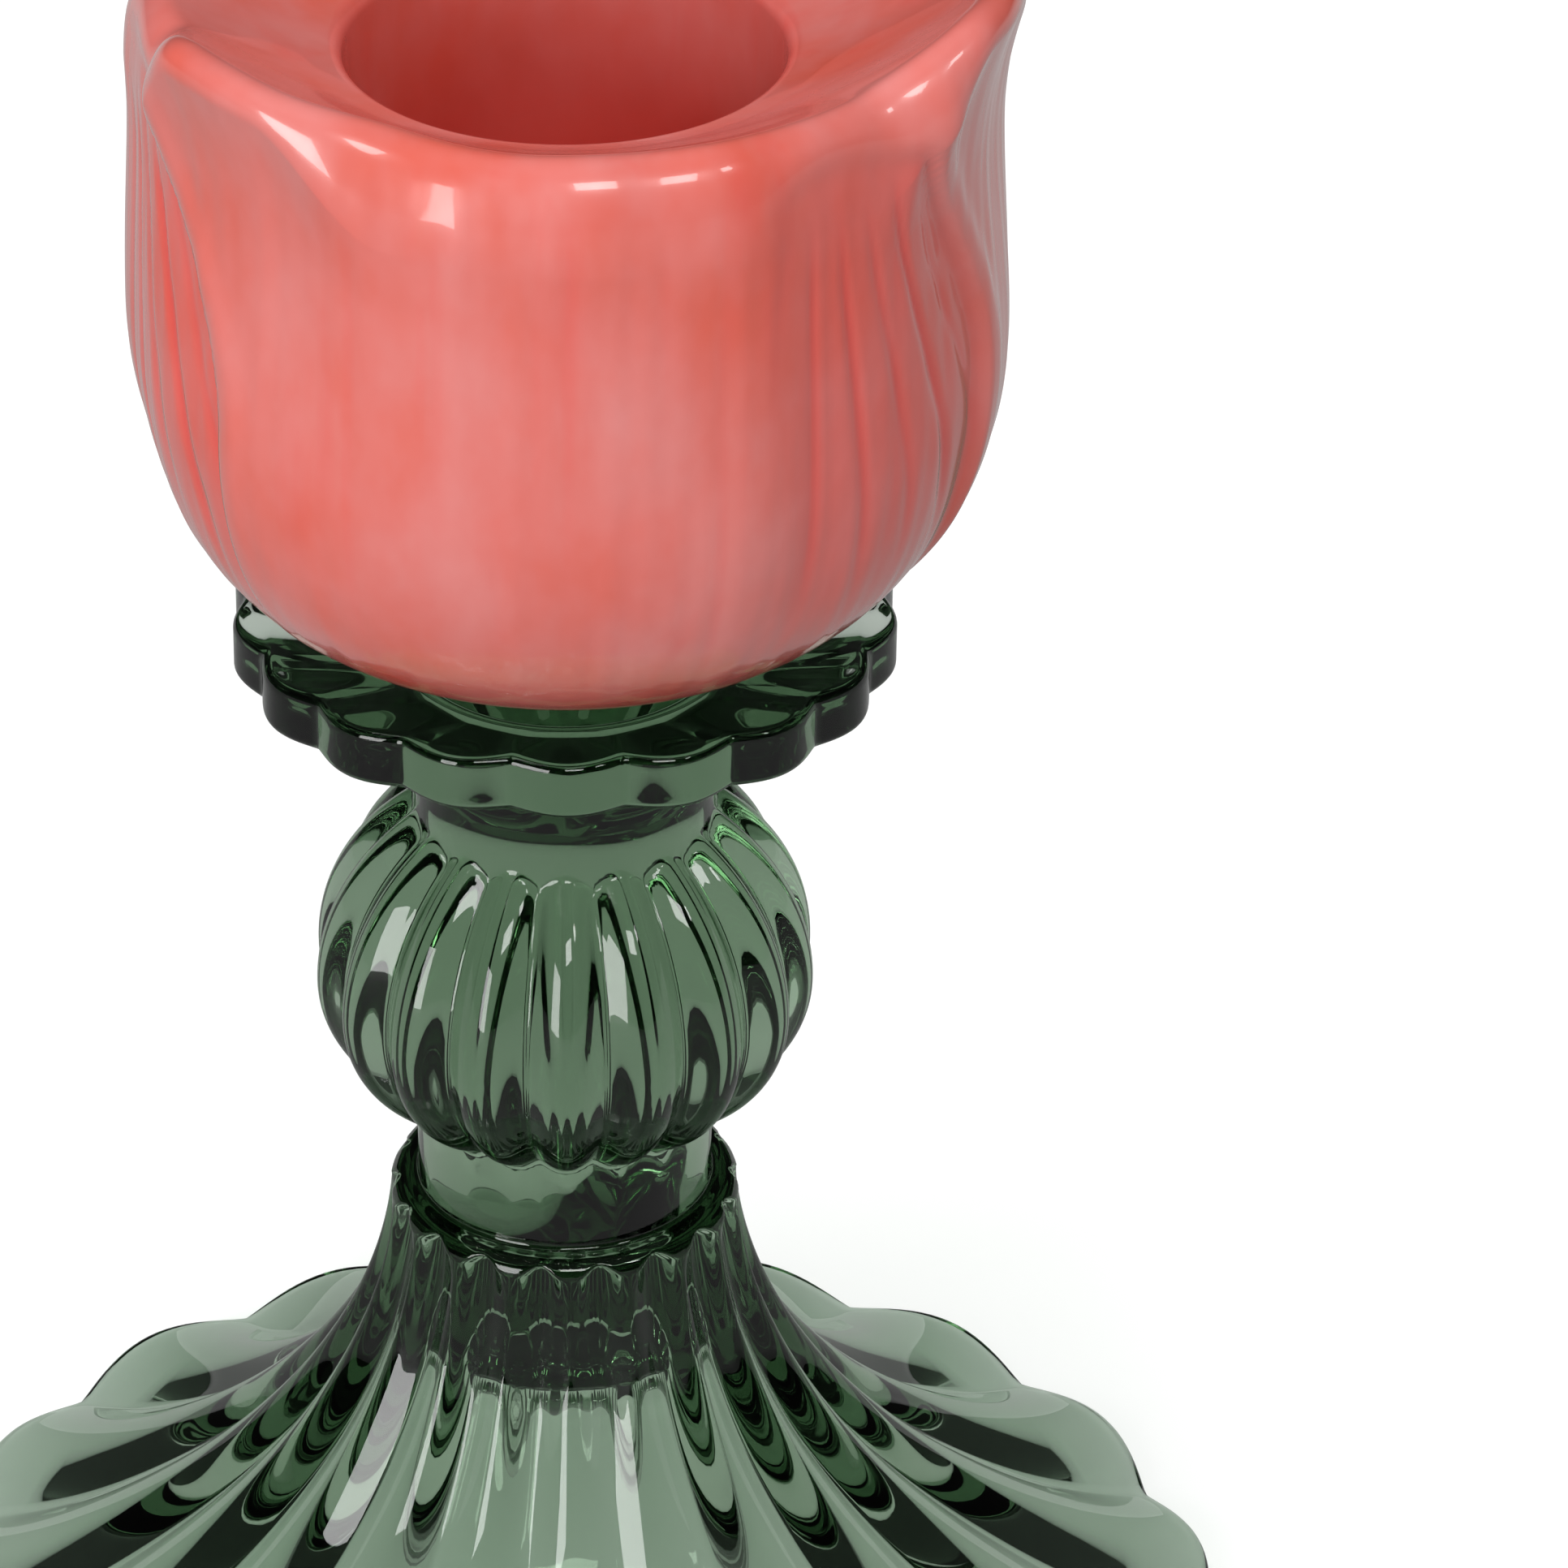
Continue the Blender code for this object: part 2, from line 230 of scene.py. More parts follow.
def solid_from_grid(name, grid, first_pole, last_pole):
    """A closed mesh from rows of points that run round the axis, with a pole at each end."""
    rows, columns, _ = grid.shape
    vertices = np.concatenate([grid.reshape(-1, 3), [first_pole], [last_pole]])
    index = np.arange(rows * columns).reshape(rows, columns)
    beside = np.roll(index, -1, axis=1)
    quads = np.stack([index[:-1], index[1:], beside[1:], beside[:-1]], -1).reshape(-1, 4)
    first, last = rows * columns, rows * columns + 1
    caps = [(first, a, b) for a, b in zip(index[0], beside[0])]
    caps += [(last, b, a) for a, b in zip(index[-1], beside[-1])]
    mesh = bpy.data.meshes.new(name)
    mesh.from_pydata([tuple(v) for v in vertices * MM], [], quads.tolist() + caps)
    mesh.shade_smooth()
    mesh.update()
    piece = bpy.data.objects.new(name, mesh)
    bpy.context.scene.collection.objects.link(piece)
    return piece


# ---------------------------------------------------------------- pressed glass base

def section(points, sink=(0.0, 0.0), cusp=1.0, head=99.0, least=0.0):
    """Outline rows as (out, up, sink out, sink up, cusp, head, least).

    sink is how far the crease between two lobes lies in and down from the crest, as one pair
    or a pair for each point. cusp is 1 for round lobes with sharp creases, 0 for an even wave
    and -1 for round flutes with sharp ridges. head is the distance below the arched head of a
    flute. least is the radius of a round core that the creases can't cut into.
    """
    points = np.asarray(points, float)
    rows = np.zeros((len(points), 7))
    rows[:, 0:2] = points
    rows[:, 2:4] = sink
    rows[:, 4] = cusp
    rows[:, 5] = head
    rows[:, 6] = least
    return rows


def fading(sink, start, end, count):
    """A sink for each of count points, going from the share start to the share end."""
    return np.array(sink) * np.linspace(start, end, count)[:, None]


def flange_rows():
    """The drip pan: a flat top, a lobed edge, and a cone underneath that runs in to the neck."""
    inset = FLANGE_RADIUS - FLANGE_FILLET
    bottom = FLANGE_TOP - FLANGE_THICKNESS
    fillet = (FLANGE_FILLET, FLANGE_FILLET)
    top_face = line((1.0, FLANGE_TOP), (inset - 1.2, FLANGE_TOP), 4)
    near_edge = line((inset - 0.9, FLANGE_TOP), (inset - 0.2, FLANGE_TOP), 4)
    top_edge = arc((inset, FLANGE_TOP - FLANGE_FILLET), fillet, 90, 0, 7)
    wall = line((FLANGE_RADIUS, FLANGE_TOP - 0.8), (FLANGE_RADIUS, bottom + 0.8), 3)
    bottom_edge = arc((inset, bottom + FLANGE_FILLET), fillet, 0, -80, 7)
    neck_end = (NECK_RADIUS + NECK_FILLET + 0.3, bottom - FLANGE_UNDERCUT)
    under = line((inset - 0.3, bottom - 0.05), neck_end, 8)
    lobes = (-FLANGE_LOBE_DEPTH, 0.0)
    return [section(top_face), section(near_edge, fading(lobes, 0.2, 1.0, len(near_edge))),
            section(top_edge, lobes), section(wall, lobes), section(bottom_edge, lobes),
            section(under, fading(lobes, 1.0, 0.0, len(under)))]


def upper_neck_rows():
    start = FLANGE_TOP - FLANGE_THICKNESS - FLANGE_UNDERCUT - 0.15
    fillet_center = (NECK_RADIUS + NECK_FILLET, start - NECK_FILLET)
    fillet = arc(fillet_center, (NECK_FILLET, NECK_FILLET), 80, 180, 6)
    knop_top = KNOP_HEIGHT + KNOP_UPPER_HALF * math.sqrt(1 - (NECK_RADIUS / KNOP_RADIUS) ** 2)
    heights = np.linspace(start - NECK_FILLET - 0.4, knop_top + 0.3, 6)
    waist = NECK_RADIUS - NECK_WAIST * np.sin(np.linspace(0, math.pi, 6))
    return [section(fillet), section(np.stack([waist, heights], 1))]


def knop_rows():
    """The ball's ribs: each runs out of the neck with a rounded head."""
    end = math.degrees(math.acos(NECK_RADIUS / KNOP_RADIUS))
    upper = arc((0.0, KNOP_HEIGHT), (KNOP_RADIUS, KNOP_UPPER_HALF), end, 0, 30)
    lower = arc((0.0, KNOP_HEIGHT), (KNOP_RADIUS, KNOP_LOWER_HALF), 0, -end, 30)[1:]
    return [section(np.concatenate([upper, lower]), (-KNOP_FLUTE_DEPTH, 0.0), least=NECK_RADIUS)]


def collar_rows():
    """The lower neck and the collar's round shoulder, where the flutes begin."""
    knop_bottom = KNOP_HEIGHT - KNOP_LOWER_HALF * math.sqrt(1 - (NECK_RADIUS / KNOP_RADIUS) ** 2)
    lower_neck = line((NECK_RADIUS, knop_bottom - 0.25), (NECK_RADIUS, COLLAR_TOP + 0.5), 4)
    fillet_center = (NECK_RADIUS + COLLAR_FILLET, COLLAR_TOP + COLLAR_FILLET)
    fillet = arc(fillet_center, (COLLAR_FILLET, COLLAR_FILLET), 180, 270, 5)
    center = (COLLAR_RADIUS - COLLAR_SHOULDER, COLLAR_TOP - COLLAR_DROP)
    shoulder = arc(center, (COLLAR_SHOULDER, COLLAR_DROP), 90, 0, 14)
    flutes = section(shoulder, (-FLUTE_DEPTH, 0.0), FLUTE_CUSP, FLUTE_HEAD - shoulder[:, 1])
    return [section(lower_neck), section(fillet), flutes]


def flare_rows():
    """Flutes with arched heads under the collar, which turn into round lobes at the rim."""
    rim = (FOOT_RADIUS - RIM_FILLET, RIM_HEIGHT)
    flare = curve((COLLAR_RADIUS + 0.1, FLARE_TOP), *FLARE_HANDLES, rim, 80)
    t = np.linspace(0, 1, len(flare))
    rim_share = smooth_step((t - 0.6) / 0.4)
    depth = FLUTE_DEPTH + (FOOT_FLUTE_DEPTH - FLUTE_DEPTH) * smooth_step(t / 0.35)
    sink_out = -depth * (1 - t) - FOOT_LOBE_DEPTH * rim_share
    sink_up = -depth * t * (1 - rim_share) - RIM_CREASE * rim_share
    cusp = FLUTE_CUSP + (1 - FLUTE_CUSP) * smooth_step(t / 0.4)
    return [section(flare, np.stack([sink_out, sink_up], 1), cusp, FLUTE_HEAD - flare[:, 1])]


def rim_rows():
    """The foot's edge, where the drop of the creases fades out on the way down."""
    depth = (-FOOT_LOBE_DEPTH, 0.0)
    drop = (0.0, -RIM_CREASE)
    top_center = (FOOT_RADIUS - RIM_FILLET, RIM_HEIGHT - RIM_FILLET)
    top_edge = arc(top_center, (RIM_FILLET, RIM_FILLET), 90, 0, 7)[1:]
    wall = line((FOOT_RADIUS, top_center[1] - 0.1), (FOOT_RADIUS, RIM_BOTTOM_FILLET + 0.1), 3)
    bottom_center = (FOOT_RADIUS - RIM_BOTTOM_FILLET, RIM_BOTTOM_FILLET)
    bottom_edge = arc(bottom_center, (RIM_BOTTOM_FILLET, RIM_BOTTOM_FILLET), 0, -90, 6)
    return [section(top_edge, depth + fading(drop, 1.0, 0.8, len(top_edge))),
            section(wall, depth + fading(drop, 0.7, 0.1, len(wall))),
            section(bottom_edge, depth)]


def hollow_rows():
    """The ring that the foot stands on and the smooth hollow inside it."""
    ring_edge = (REST_RADIUS - REST_WIDTH, 0.0)
    ring = line((REST_RADIUS - 0.9, 0.0), (ring_edge[0] + 0.3, 0.0), 3)
    ring_rows = section(ring)
    ring_rows[0, 2] = -FOOT_LOBE_DEPTH * 0.4
    dome_base = (DOME_RADIUS, HOLLOW_TOP - DOME_RISE)
    wall = curve(ring_edge, *HOLLOW_HANDLES, dome_base, 38)
    dome = arc((0.0, dome_base[1]), (DOME_RADIUS, DOME_RISE), 20, 86, 12)
    return [ring_rows, section(wall), section(dome)]


def grooves_at(azimuth, cusp):
    """0 on the crest of a lobe and 1 in the middle between two, with the shape that cusp asks for."""
    sharp_crease = 1 - np.abs(np.cos(azimuth * LOBES / 2)) ** 1.15
    sharp_ridge = np.abs(np.sin(azimuth * LOBES / 2))
    even = (1 - np.cos(azimuth * LOBES)) / 2
    return even + np.maximum(cusp, 0) * (sharp_crease - even) + np.maximum(-cusp, 0) * (sharp_ridge - even)


def make_glass_base():
    rows = np.concatenate(flange_rows() + upper_neck_rows() + knop_rows() + collar_rows()
                          + flare_rows() + rim_rows() + hollow_rows())
    out, up, sink_out, sink_up, cusp, head, least = as_columns(rows)
    azimuth = all_round(BASE_COLUMNS)
    groove = grooves_at(azimuth, cusp)
    share = groove * smooth_step((head - FLUTE_ARCH * (1 - groove)) / FLUTE_HEAD_SOFTNESS)
    radius = out + sink_out * share
    core = (radius + least + np.sqrt((radius - least) ** 2 + CORE_SOFTNESS ** 2)) / 2
    radius = np.where(least > 0, core, radius)
    turn = np.where(up < COLLAR_TOP + 1, FOOT_TURN, LOBE_TURN)
    grid = around(radius, up + sink_up * share, azimuth + turn)
    return solid_from_grid("pressed_glass_base", grid, (0, 0, FLANGE_TOP), (0, 0, HOLLOW_TOP))


# ---------------------------------------------------------------- tulip cup: petals and panels

def petal_phase(azimuth):
    """Place within one petal: 0 at the gap where it starts, growing to 1 at the next gap."""
    return (azimuth - PETAL_GAP) * PETALS / math.tau % 1.0


def petal_tip(azimuth):
    """1 at the petal's tip, which rises and flares, and 0 away from it."""
    phase = petal_phase(azimuth)
    return smooth_step((phase - 0.02) / 0.17) * (1 - smooth_step((phase - 0.19) / 0.42))


def petal_flare(azimuth):
    """1 where the petal stands out over a waist, 0 where the cup has its soft shoulder."""
    phase = petal_phase(azimuth)
    return smooth_step((phase - 0.04) / 0.14) * (1 - smooth_step((phase - 0.30) / 0.15))


def past_gap(azimuth):
    """Angle past the nearest gap between petals, negative before it."""
    phase = petal_phase(azimuth)
    return (phase - np.round(phase)) * math.tau / PETALS


def panel_right(height):
    """Right edge of a panel, which leans away from the gap towards the foot."""
    lean = smooth_step((PANEL_TOP + 1.5 - height) / 19.0)
    return PANEL_RIGHT_AT_TOP + (PANEL_RIGHT_AT_FOOT - PANEL_RIGHT_AT_TOP) * lean


def panel_share(azimuth, height):
    """1 inside the arch-topped panel between two petals, 0 outside it."""
    angle, right = past_gap(azimuth), panel_right(height)
    middle, half = (right + PANEL_LEFT) / 2, (right - PANEL_LEFT) / 2
    sides = smooth_step((angle - PANEL_LEFT) / 0.26) * smooth_step((right - angle) / 0.035)
    arch = PANEL_TOP - PANEL_ARCH * ((angle - middle) / half) ** 2
    return sides * smooth_step((arch - height) / 2.4) * smooth_step((height - PANEL_FOOT) / 12.0)


def ridge_share(azimuth, height):
    """The raised edge of the petal beside a panel."""
    off = (past_gap(azimuth) - panel_right(height) - RIDGE_WIDTH) / RIDGE_WIDTH
    foot, top = smooth_step((height - 9.0) / 10.0), smooth_step((PANEL_TOP + 2 - height) / 3.0)
    return np.exp(-off ** 2) * foot * top


def panel_grooves(azimuth, height):
    """Upright grooves that fan out down a panel, from 0 to 1."""
    fan = 0.62 + 0.75 * smooth_step((PANEL_TOP - height) / 28.0)
    place = (past_gap(azimuth) + GROOVE_START) / (fan * GROOVE_PITCH)
    groove = np.clip(np.cos(math.tau * place), 0, 1) ** 3
    unequal = 0.72 + 0.28 * np.sin(2.6 * np.round(place) + 0.4)
    reach = smooth_step((height - 5.0) / 9.0) * smooth_step((PANEL_TOP - 3.0 - height) / 6.0)
    return groove * unequal * reach


def ripples(azimuth, height):
    """Shallow upright ripples of the glazed wall, from -1 to 1, fading out at its foot and lip."""
    waves = ((23, 0.4, 0.05), (37, 1.9, -0.03), (61, 4.1, 0.08), (89, 2.6, -0.06))
    total = sum(np.sin(count * azimuth + start + lean * height) for count, start, lean in waves)
    return total / len(waves) * smooth_step(height / 8.0) * smooth_step((LIP_HEIGHT - 1 - height) / 6.0)


def lip_wander(azimuth):
    """Small waves of the lip, in millimetres."""
    return 0.09 * np.sin(7 * azimuth + 0.6) + 0.07 * np.sin(13 * azimuth + 2.1) + 0.05 * np.sin(22 * azimuth)


# ---------------------------------------------------------------- tulip cup: outline

def petal_top():
    """Dish, lip and waist where a petal flares out."""
    lip = arc((LIP_RADIUS - LIP_ROUND, LIP_HEIGHT - LIP_ROUND), (LIP_ROUND, LIP_ROUND), 112, -18, 18)
    dish = curve(DISH_START, (16.0, 33.3), (18.8, 34.7), lip[0], 24)[:-1]
    waist = (WAIST_RADIUS, WAIST_HEIGHT)
    upper = curve(lip[-1], (LIP_RADIUS - 0.5, 33.0), (WAIST_RADIUS, 31.5), waist, 30)[1:]
    return dish, lip, upper


def shoulder_top():
    """Dish, lip and wall between two petals, where the cup rounds over in a soft shoulder."""
    center = (SHOULDER_RADIUS - SHOULDER_REACH, SHOULDER_HEIGHT - SHOULDER_DROP)
    lip = arc(center, (SHOULDER_REACH, SHOULDER_DROP), 98, 2, 18)
    dish = curve(DISH_START, (15.5, 33.4), (17.6, 34.7), lip[0], 24)[:-1]
    upper = line(lip[-1], (SHOULDER_RADIUS, WAIST_HEIGHT - 1.0), 30)[1:]
    return dish, lip, upper


def cup_section(points, tip=0.0, wall=0.0):
    """Outline rows as (out, up, tip, wall).

    tip is a row's share in the rise and flare of the petals' tips, and wall its share in the
    outside's relief. Each is a number or a function of the way along the rows, from 0 to 1.
    """
    t = np.linspace(0, 1, len(points))
    shares = [share(t) if callable(share) else np.full(len(t), share) for share in (tip, wall)]
    return np.column_stack([points, *shares])


def well_rows():
    """The candle well, from the middle of its floor up to its rounded mouth."""
    corner_out, corner_up = WELL_FLOOR_RADIUS - WELL_CORNER, WELL_FLOOR + WELL_CORNER
    mouth_center = (WELL_RADIUS + WELL_ROUND, WELL_MOUTH - WELL_ROUND)
    floor = line((1.0, WELL_FLOOR), (corner_out - 0.1, WELL_FLOOR), 5)
    corner = arc((corner_out, corner_up), (WELL_CORNER, WELL_CORNER), -90, 0, 5)
    wall = line((WELL_FLOOR_RADIUS, corner_up + 0.5), (WELL_RADIUS, mouth_center[1] - 0.4), 16)
    mouth = arc(mouth_center, (WELL_ROUND, WELL_ROUND), 180, 100, 10)
    return cup_section(np.concatenate([floor, corner, wall, mouth]))


def recess_rows():
    """The foot ring and the shallow recess inside it."""
    return cup_section([(CUP_FOOT_RADIUS - 0.25, 0.0), (RECESS_RADIUS + 0.1, 0.0), (RECESS_RADIUS, 0.1),
                        (RECESS_RADIUS, RECESS_HEIGHT - 0.1), (RECESS_RADIUS - 0.1, RECESS_HEIGHT),
                        (6.0, RECESS_HEIGHT), (1.0, RECESS_HEIGHT)])


def cup_rows(dish, lip, upper):
    """The whole outline, from the well's floor over the lip and down the outside."""
    belly = (BELLY_RADIUS, BELLY_HEIGHT)
    middle = curve(upper[-1], (upper[-1][0] + 0.02, 25.0), (BELLY_RADIUS, 20.5), belly, 34)[1:]
    lower = curve(belly, (BELLY_RADIUS, 8.4), (18.9, 2.6), (CUP_FOOT_RADIUS, 0.25), 44)[1:]
    return np.concatenate([
        well_rows(),
        cup_section(dish, tip=lambda t: t ** 1.3),
        cup_section(lip, tip=1.0, wall=smooth_step),
        cup_section(np.concatenate([upper, middle]), tip=lambda t: (1 - t) ** 2, wall=1.0),
        cup_section(lower, wall=1.0),
        recess_rows()])


def cup_outline(azimuth):
    """The plain cup as (out, up, tip, wall), between its petal and its shoulder outline."""
    petal, shoulder = as_columns(cup_rows(*petal_top())), as_columns(cup_rows(*shoulder_top()))
    out, up = shoulder[:2] + (petal[:2] - shoulder[:2]) * petal_flare(azimuth)
    return out, up, petal[2], petal[3]


def glaze_tone(out, up, wall, panel, grooves, ridge, ripple):
    """0 where the glaze is thin and pale, 1 where it is deep: it pools in the grooves and sunken ripples and
    thins on the ridges, it is darker in the panels, and painted shade deepens it down the well and towards
    the foot.
    """
    inside = (out < WELL_RADIUS + 0.6) * (up > RECESS_HEIGHT + 5)
    # Painted shade: the well grows deeper red towards its floor.
    well = inside * (0.15 + 0.85 * smooth_step((WELL_MOUTH - up) / 15.0))
    # Painted shade: the outside wall darkens towards the foot.
    low = wall * (1 - smooth_step(up / 9.0))
    streak = smooth_step((ripple - 0.3) / 0.6)
    outside = wall * (0.60 * grooves + 0.34 * panel + 0.14 * streak - 0.25 * ridge)
    return np.clip(well + outside + 0.18 * low, 0, 1)


def store_tone(piece, tones):
    """Keeps the glaze's tone, painted shade included, on each point of the grid, then on the well's pole and
    the recess's.
    """
    attribute = piece.data.attributes.new("tone", "FLOAT", "POINT")
    attribute.data.foreach_set("value", np.concatenate([tones.ravel(), [1.0, 0.0]]).astype(np.float32))


def make_tulip_cup():
    azimuth = all_round(CUP_COLUMNS)
    out, up, tip, wall = cup_outline(azimuth)
    panel = panel_share(azimuth, up)
    grooves = panel_grooves(azimuth, up) * panel
    ridge = ridge_share(azimuth, up)
    ripple = ripples(azimuth, up)
    relief = PANEL_DEPTH * panel + GROOVE_DEPTH * grooves - RIDGE_HEIGHT * ridge + RIPPLE_DEPTH * ripple
    wander = lip_wander(azimuth) * tip
    at_tip = petal_tip(azimuth)
    radius = out + tip * TIP_FLARE * at_tip - wall * relief + wander
    height = up + tip * TIP_RISE * at_tip + 0.6 * wander + CUP_SEAT
    poles = ((0, 0, CUP_SEAT + WELL_FLOOR), (0, 0, CUP_SEAT + RECESS_HEIGHT))
    piece = solid_from_grid("tulip_cup_glazed", around(radius, height, azimuth), *poles)
    store_tone(piece, glaze_tone(out, up, wall, panel, grooves, ridge, ripple))
    return piece


# ---------------------------------------------------------------- adhesive

def make_adhesive():
    """The thin bond under the cup, with a round edge that wanders a little."""
    radius = PAD_HIGH.x / MM
    low, high = PAD_LOW.z / MM, PAD_HIGH.z / MM
    edge = (high - low) / 2
    top = line((1.0, high), (radius - 1.0, high), 6)
    rim = arc((radius - edge, (low + high) / 2), (edge, edge), 90, -90, 12)
    bottom = line((radius - 1.0, low), (1.0, low), 6)
    out, up = as_columns(np.concatenate([top, rim, bottom]))
    azimuth = all_round(BOND_COLUMNS)
    waves = sum(depth * np.sin(count * azimuth + start) for count, start, depth in BOND_WAVES)
    grid = around(out * (1 + waves - BOND_INSET), up, azimuth)
    return solid_from_grid("adhesive_bond", grid, (0, 0, high), (0, 0, low))


# ---------------------------------------------------------------- node helpers

def new_material(name):
    """A node material, its tree and its Principled shader."""
    material = bpy.data.materials.new(name)
    material.use_nodes = True
    return material, material.node_tree, material.node_tree.nodes["Principled BSDF"]


def set_inputs(node, **values):
    """Sets inputs by name, with an underscore for each space; three numbers are a colour."""
    for name, value in values.items():
        opaque = (*value, 1.0) if isinstance(value, tuple) else value
        node.inputs[name.replace("_", " ")].default_value = opaque


def stretched_noise(tree, scale, stretch, detail):
    """Noise in the object's own coordinates, drawn out along the stem by stretch."""
    coordinates = tree.nodes.new("ShaderNodeTexCoord")
    mapping = tree.nodes.new("ShaderNodeMapping")
    mapping.inputs["Scale"].default_value = (1.0, 1.0, stretch)
    noise = tree.nodes.new("ShaderNodeTexNoise")
    set_inputs(noise, Scale=scale, Detail=detail)
    tree.links.new(coordinates.outputs["Object"], mapping.inputs["Vector"])
    tree.links.new(mapping.outputs["Vector"], noise.inputs["Vector"])
    return noise.outputs["Fac"]


def object_axis(tree, axis):
    """One of the object's own coordinates, in metres."""
    coordinates = tree.nodes.new("ShaderNodeTexCoord")
    split = tree.nodes.new("ShaderNodeSeparateXYZ")
    tree.links.new(coordinates.outputs["Object"], split.inputs["Vector"])
    return split.outputs[axis]


def light_path(tree, question):
    """1 for the rays that the question holds for, 0 for others."""
    return tree.nodes.new("ShaderNodeLightPath").outputs[question]


def color_ramp(tree, source, stops):
    ramp = tree.nodes.new("ShaderNodeValToRGB")
    while len(ramp.color_ramp.elements) < len(stops):
        ramp.color_ramp.elements.new(0.5)
    for element, (position, color) in zip(ramp.color_ramp.elements, stops):
        element.position = position
        element.color = (*color, 1.0)
    tree.links.new(source, ramp.inputs["Fac"])
    return ramp.outputs["Color"]


def calculate(tree, operation, first, second, clamp=False):
    result = tree.nodes.new("ShaderNodeMath")
    result.operation = operation
    result.use_clamp = clamp
    tree.links.new(first, result.inputs[0])
    tree.links.new(second, result.inputs[1])
    return result.outputs["Value"]


def mix_colors(tree, share, first, second):
    """first where share is 0, second where it is 1; each is a node's output or a plain colour."""
    mix = tree.nodes.new("ShaderNodeMix")
    mix.data_type = "RGBA"
    tree.links.new(share, mix.inputs["Factor"])
    for name, color in (("A", first), ("B", second)):
        if isinstance(color, tuple):
            set_inputs(mix, **{name: color})
        else:
            tree.links.new(color, mix.inputs[name])
    return mix.outputs["Result"]


def add_bump(tree, shader, height, strength, distance):
    bump = tree.nodes.new("ShaderNodeBump")
    set_inputs(bump, Strength=strength, Distance=distance)
    tree.links.new(height, bump.inputs["Height"])
    tree.links.new(bump.outputs["Normal"], shader.inputs["Normal"])


# ---------------------------------------------------------------- materials

def glaze_color(tree):
    """Mottled coral, pale where the glaze is thin, deeper where it pools and in fine strokes, and deeper
    still as painted shade down the well and towards the foot.
    """
    patches = stretched_noise(tree, 130.0, 0.6, 4.0)
    thin, pooled_and_shaded = color_ramp(tree, patches, THIN_GLAZE), color_ramp(tree, patches, POOLED_GLAZE_AND_SHADE)
    strokes = color_ramp(tree, stretched_noise(tree, 330.0, 0.10, 3.0), GLAZE_STROKES)
    tone = tree.nodes.new("ShaderNodeAttribute")
    tone.attribute_name = "tone"
    return mix_colors(tree, calculate(tree, "ADD", tone.outputs["Fac"], strokes, clamp=True), thin, pooled_and_shaded)


def dimmed_in_mirror(tree, color):
    """The colour, but dim on the low part of the cup for mirrored rays, so that the glass stays green."""
    low = color_ramp(tree, object_axis(tree, "Z"), MIRRORED_HEIGHTS)
    dim = calculate(tree, "MULTIPLY", light_path(tree, "Is Glossy Ray"), low)
    return mix_colors(tree, dim, color, MIRRORED_GLAZE)


def coral_glaze():
    material, tree, shader = new_material("coral_glaze")
    tree.links.new(dimmed_in_mirror(tree, glaze_color(tree)), shader.inputs["Base Color"])
    set_inputs(shader, Roughness=0.25, IOR=1.5, Coat_Weight=0.7, Coat_Roughness=0.05)
    add_bump(tree, shader, stretched_noise(tree, 220.0, 0.6, 2.0), 0.3, 0.0006)
    return material


def let_light_through(tree, shader, color):
    """Lets shadow rays pass the shader's surface, tinted with the colour."""
    clear = tree.nodes.new("ShaderNodeBsdfTransparent")
    set_inputs(clear, Color=color)
    mix = tree.nodes.new("ShaderNodeMixShader")
    tree.links.new(light_path(tree, "Is Shadow Ray"), mix.inputs["Fac"])
    tree.links.new(shader.outputs["BSDF"], mix.inputs[1])
    tree.links.new(clear.outputs["BSDF"], mix.inputs[2])
    tree.links.new(mix.outputs["Shader"], tree.nodes["Material Output"].inputs["Surface"])


def green_glass():
    material, tree, shader = new_material("green_glass")
    set_inputs(shader, Roughness=0.02, IOR=1.5, Transmission_Weight=1.0)
    tint = color_ramp(tree, stretched_noise(tree, 60.0, 0.5, 2.0), GLASS_TINT)
    tree.links.new(tint, shader.inputs["Base Color"])
    absorb = tree.nodes.new("ShaderNodeVolumeAbsorption")
    set_inputs(absorb, Color=GLASS_DEPTH_COLOR, Density=100.0)
    tree.links.new(absorb.outputs["Volume"], tree.nodes["Material Output"].inputs["Volume"])
    let_light_through(tree, shader, GLASS_SHADOW)
    return material


def clear_adhesive():
    material, tree, shader = new_material("clear_adhesive")
    tint = color_ramp(tree, stretched_noise(tree, 600.0, 1.0, 2.0), ADHESIVE_TINT)
    tree.links.new(tint, shader.inputs["Base Color"])
    set_inputs(shader, Roughness=0.12, IOR=1.47, Transmission_Weight=0.6)
    return material


def floor_material():
    """A pale floor that looks mid grey through the glass and, in front, dark in mirrored light."""
    material, tree, shader = new_material("pale_floor")
    pale = color_ramp(tree, stretched_noise(tree, 40.0, 1.0, 3.0), FLOOR_SEEN)
    mirrored = color_ramp(tree, object_axis(tree, "Y"), FLOOR_MIRRORED)
    indirect = mix_colors(tree, light_path(tree, "Is Reflection Ray"), FLOOR_THROUGH_GLASS, mirrored)
    seen = mix_colors(tree, light_path(tree, "Is Camera Ray"), indirect, pale)
    tree.links.new(seen, shader.inputs["Base Color"])
    set_inputs(shader, Roughness=0.8, Emission_Color=WHITE, Emission_Strength=0.2)
    return material


# ---------------------------------------------------------------- studio

def add_floor():
    bpy.ops.mesh.primitive_plane_add(size=8.0, location=(0, 0, -0.0001))
    floor = bpy.context.object
    floor.name = "floor"
    floor.data.materials.append(floor_material())


def add_softbox(name, location, size, power, glossy=True):
    """A rectangular light; with glossy off it shades surfaces without showing in gloss or glass."""
    light = bpy.data.lights.new(name, "AREA")
    light.shape = "RECTANGLE"
    light.size, light.size_y = size
    light.energy = power
    lamp = bpy.data.objects.new(name, light)
    bpy.context.scene.collection.objects.link(lamp)
    lamp.location = location
    lamp.rotation_euler = (Vector(LIGHT_TARGET) - Vector(location)).to_track_quat("-Z", "Y").to_euler()
    lamp.visible_glossy = glossy
    lamp.visible_transmission = glossy


